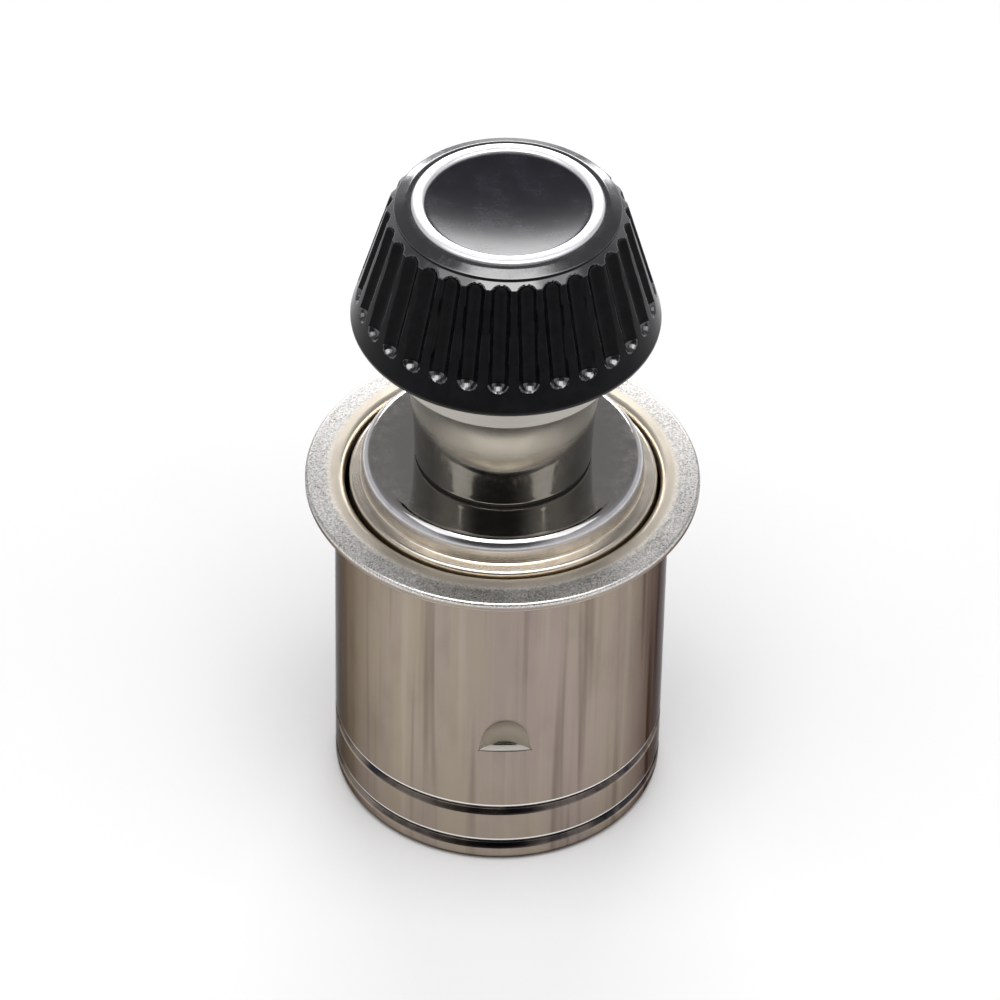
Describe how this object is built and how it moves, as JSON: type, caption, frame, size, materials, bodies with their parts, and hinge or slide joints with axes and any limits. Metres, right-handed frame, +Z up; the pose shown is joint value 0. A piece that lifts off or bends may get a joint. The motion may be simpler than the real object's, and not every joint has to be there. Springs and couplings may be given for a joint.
{
  "type": "car cigarette lighter",
  "caption": "Pop-out car cigarette lighter plug: black fluted knob on a flared neck, sprung in a flanged nickel guard shell with a spiral heating element inside.",
  "frame": {"origin": "centre of the guard shell's foot, on the surface it stands on", "axes": "+Z up along the plunger through the knob, -Y towards the viewer of the picture"},
  "size_m": [0.0244, 0.0244, 0.0448],
  "materials": {
    "shell_nickel": "warm bright nickel plate on drawn steel, finely blasted on the flange",
    "barrel_nickel": "satin nickel plate on drawn steel",
    "collar_nickel": "polished nickel plate",
    "spring_steel": "bright drawn spring wire",
    "dark_fibre": "vulcanised fibre, dark",
    "knob_black": "glossy black moulding",
    "disc_black": "polished black disc",
    "ring_bright": "bright trim ring",
    "bush_brass": "turned brass",
    "turned_steel": "turned steel, zinc plated",
    "stud_steel": "turned steel",
    "cup_steel": "drawn stainless steel",
    "coil_ribbon": "oxidised resistance ribbon",
    "mica": "pressed mica",
    "white_ceramic": "unglazed steatite"
  },
  "bodies": {
    "shell": {"guard_shell": "shell_nickel", "return_spring": "spring_steel"},
    "plunger": {"guide_barrel": "barrel_nickel", "neck_washer": "dark_fibre", "neck_collar": "collar_nickel", "knob": "knob_black", "knob_bush": "bush_brass", "knob_trim_ring": "ring_bright", "knob_face_disc": "disc_black", "stem": "turned_steel", "stem_lock_washer": "turned_steel", "element_stud": "stud_steel", "element_cup": "cup_steel", "heating_coil": "coil_ribbon", "inner_mica_washer": "mica", "outer_mica_washer": "mica", "ceramic_bush": "white_ceramic", "spring_washer": "turned_steel", "element_nut": "turned_steel"}
  },
  "joints": [
    {"name": "plunger_push", "type": "slide", "parent": "shell", "child": "plunger", "axis": [0, 0, -1], "range_m": [0, 0.006], "stiffness_N_per_m": 500, "springref_m": -0.008, "deforming": ["return_spring"]}
  ]
}
